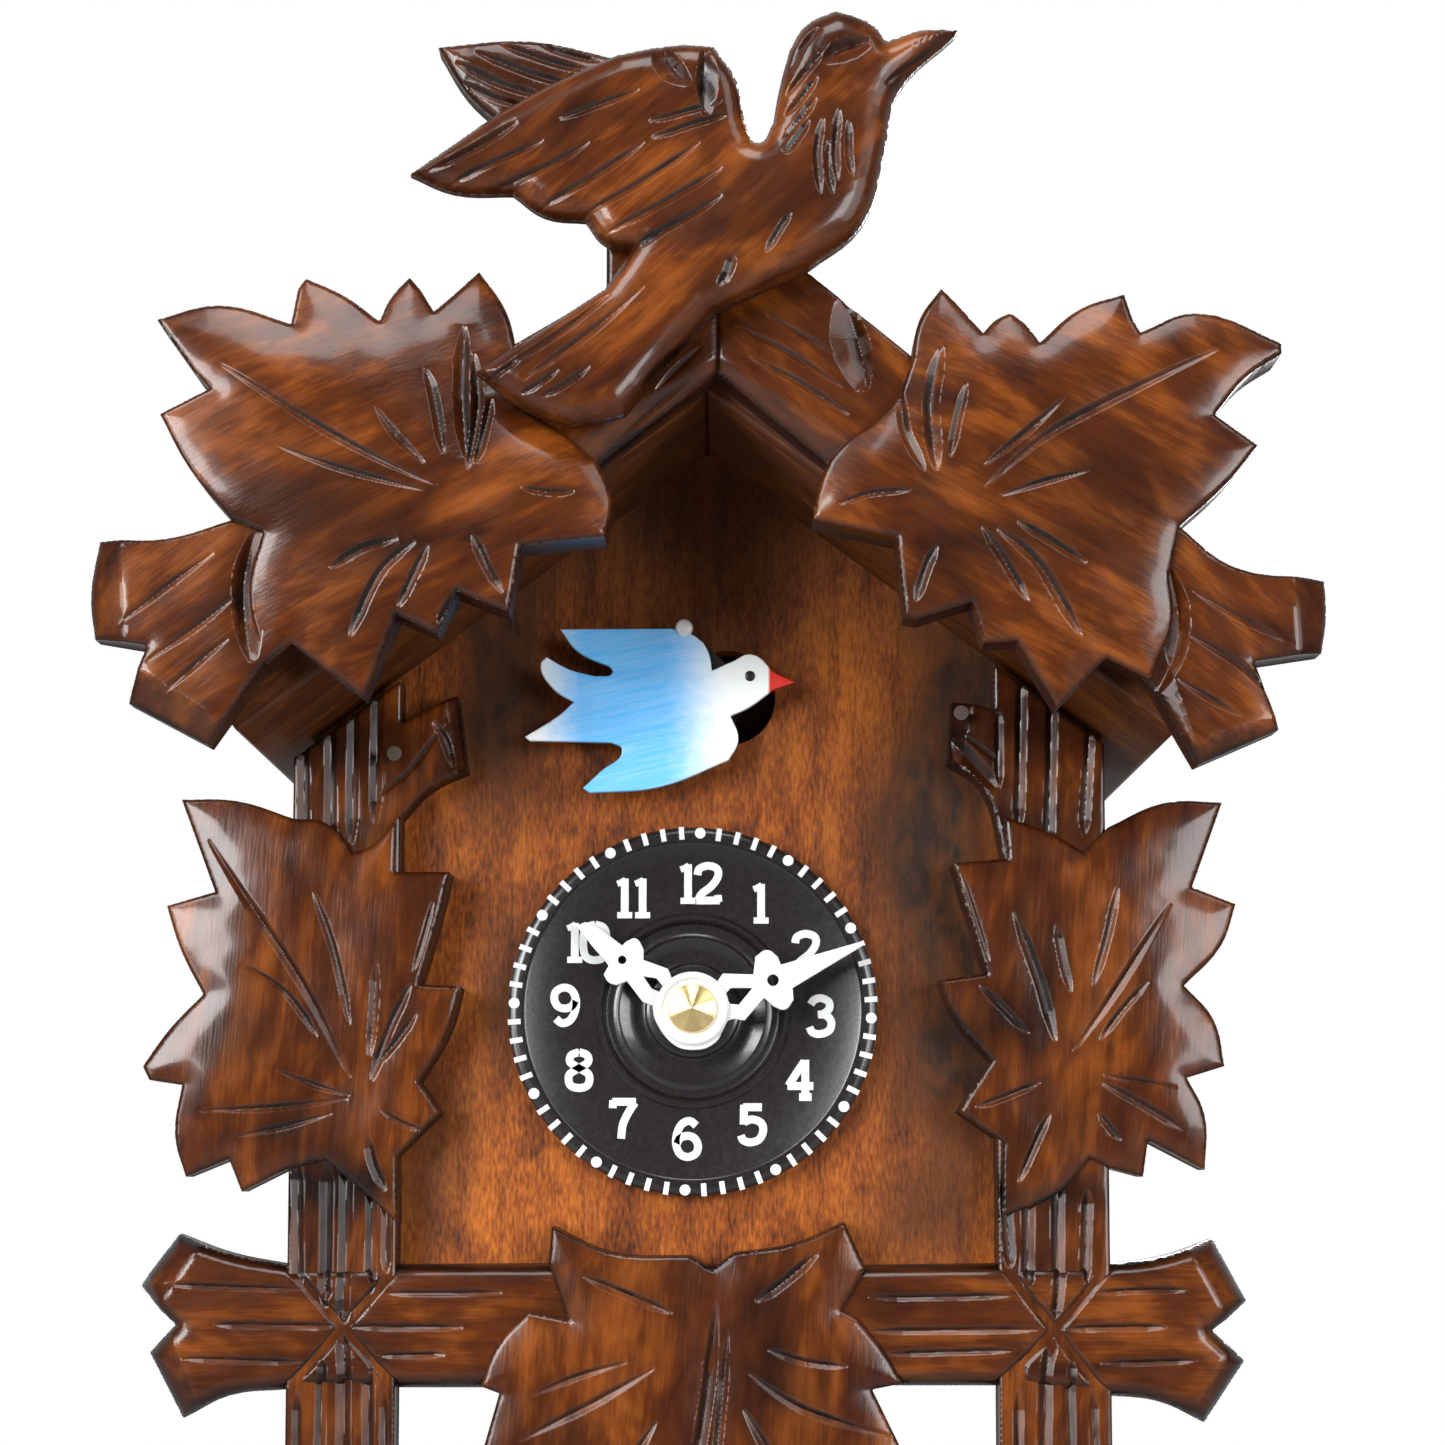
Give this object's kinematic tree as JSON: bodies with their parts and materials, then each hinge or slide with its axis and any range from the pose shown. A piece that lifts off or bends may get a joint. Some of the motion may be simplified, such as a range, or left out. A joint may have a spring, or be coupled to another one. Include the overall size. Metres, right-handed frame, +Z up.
{
  "type": "cuckoo clock",
  "caption": "Miniature carved cuckoo clock with leaf roof, perched bird, rocking flying bird, round dial and spring-wound pendulum movement.",
  "frame": {"origin": "middle of the hanger hole, in the plane of the wall behind the case", "axes": "+X to the clock's right as seen from the front, -Y towards the viewer, +Y into the wall, +Z up"},
  "size_m": [0.1171, 0.0795, 0.1583],
  "materials": {
    "panel_wood": "stained and lacquered board with short vertical grain",
    "case_wood": "brown stain under satin lacquer",
    "plain_wood": "plain light plywood and battens",
    "carved_wood": "gouged, walnut stained and glossy lacquered",
    "carved_bird": "carved, darker walnut stain, glossy lacquer",
    "black_plastic": "glossy moulded dial",
    "white_plastic": "white moulded plastic",
    "bird_paint": "white plastic sprayed blue across the middle",
    "brass": "brushed sheet brass",
    "steel": "turned and polished",
    "spring_steel": "blued spring steel"
  },
  "bodies": {
    "case": {"back_cover": "plain_wood", "back_cover_screws": "steel", "back_plate": "brass", "bottom_board": "case_wood", "carving_brads": "steel", "click_spring": "spring_steel", "click_stud_pin": "steel", "cover_cleats": "plain_wood", "crossbar_carving": "carved_wood", "dial": "black_plastic", "dial_markings": "white_plastic", "front_panel": "panel_wood", "front_plate": "brass", "hanger_plate": "brass", "hanger_screws": "steel", "left_roof_board": "case_wood", "left_roof_carving": "carved_wood", "left_side_carving": "carved_wood", "left_side_wall": "case_wood", "lower_movement_cleat": "plain_wood", "minute_wheel_stud": "steel", "movement_screws": "steel", "pillar_nuts": "brass", "plate_pillars": "brass", "rear_gable": "case_wood", "right_roof_board": "case_wood", "right_roof_carving": "carved_wood", "right_side_carving": "carved_wood", "right_side_wall": "case_wood", "top_bird": "carved_bird", "upper_left_cleat": "plain_wood", "upper_right_cleat": "plain_wood"},
    "hour_group": {"hour_wheel": "brass", "hour_hand": "white_plastic"},
    "minute_group": {"cannon_pinion": "brass", "minute_hand": "white_plastic", "hand_cap": "brass"},
    "minute_wheel_group": {"minute_wheel": "brass"},
    "centre_group": {"centre_arbor": "steel", "centre_wheel": "brass"},
    "third_group": {"third_arbor": "steel", "third_wheel": "brass"},
    "escape_group": {"escape_arbor": "steel", "escape_wheel": "brass"},
    "barrel_group": {"spring_barrel": "brass", "barrel_cover": "brass", "mainspring": "spring_steel"},
    "winding_group": {"winding_arbor": "steel", "ratchet_wheel": "steel", "winding_key": "steel"},
    "click_lever": {"click": "steel"},
    "rocker": {"pallet_arbor": "steel", "pallets": "steel", "crutch": "steel", "bird_arm": "white_plastic", "flying_bird": "bird_paint", "pendulum_rod": "steel"},
    "bob": {"pendulum_bob": "carved_wood"}
  },
  "joints": [
    {"name": "minute_spin", "type": "hinge", "parent": "case", "child": "minute_group", "pos_m": [-0.0015, 0, -0.0447], "axis": [0, 1, 0], "continuous": true},
    {"name": "hour_spin", "type": "hinge", "parent": "case", "child": "hour_group", "pos_m": [-0.0015, 0, -0.0447], "axis": [0, 1, 0], "continuous": true},
    {"name": "minute_wheel_spin", "type": "hinge", "parent": "case", "child": "minute_wheel_group", "pos_m": [0.0015, 0, -0.0499], "axis": [0, 1, 0], "continuous": true},
    {"name": "escape_spin", "type": "hinge", "parent": "case", "child": "escape_group", "pos_m": [-0.003, 0, -0.024], "axis": [0, 1, 0], "continuous": true},
    {"name": "third_spin", "type": "hinge", "parent": "case", "child": "third_group", "pos_m": [-0.0125, 0, -0.033], "axis": [0, 1, 0], "continuous": true},
    {"name": "centre_spin", "type": "hinge", "parent": "case", "child": "centre_group", "pos_m": [-0.0015, 0, -0.0447], "axis": [0, 1, 0], "continuous": true},
    {"name": "barrel_spin", "type": "hinge", "parent": "case", "child": "barrel_group", "pos_m": [0.01, 0, -0.057], "axis": [0, 1, 0], "continuous": true},
    {"name": "winding_spin", "type": "hinge", "parent": "case", "child": "winding_group", "pos_m": [0.01, 0, -0.057], "axis": [0, 1, 0], "continuous": true},
    {"name": "click_lift", "type": "hinge", "parent": "case", "child": "click_lever", "pos_m": [0.01737, 0, -0.05184], "axis": [0, 1, 0], "range_deg": [0, 8], "stiffness_Nm_per_rad": 0.0002, "springref_deg": -20.05},
    {"name": "bird_rock", "type": "hinge", "parent": "case", "child": "rocker", "pos_m": [0.0021, 0, -0.0119], "axis": [0, 1, 0], "range_deg": [-6, 6]},
    {"name": "bob_slide", "type": "slide", "parent": "rocker", "child": "bob", "axis": [0, 0, 1], "range_m": [-0.003, 0.004]}
  ],
  "couplings": [
    {"joint": "hour_spin", "follows": "minute_spin", "ratio": 0.083333},
    {"joint": "minute_wheel_spin", "follows": "minute_spin", "ratio": -0.33333},
    {"joint": "third_spin", "follows": "escape_spin", "ratio": -0.083333},
    {"joint": "centre_spin", "follows": "escape_spin", "ratio": 0.0069444},
    {"joint": "barrel_spin", "follows": "escape_spin", "ratio": -0.0011574}
  ]
}
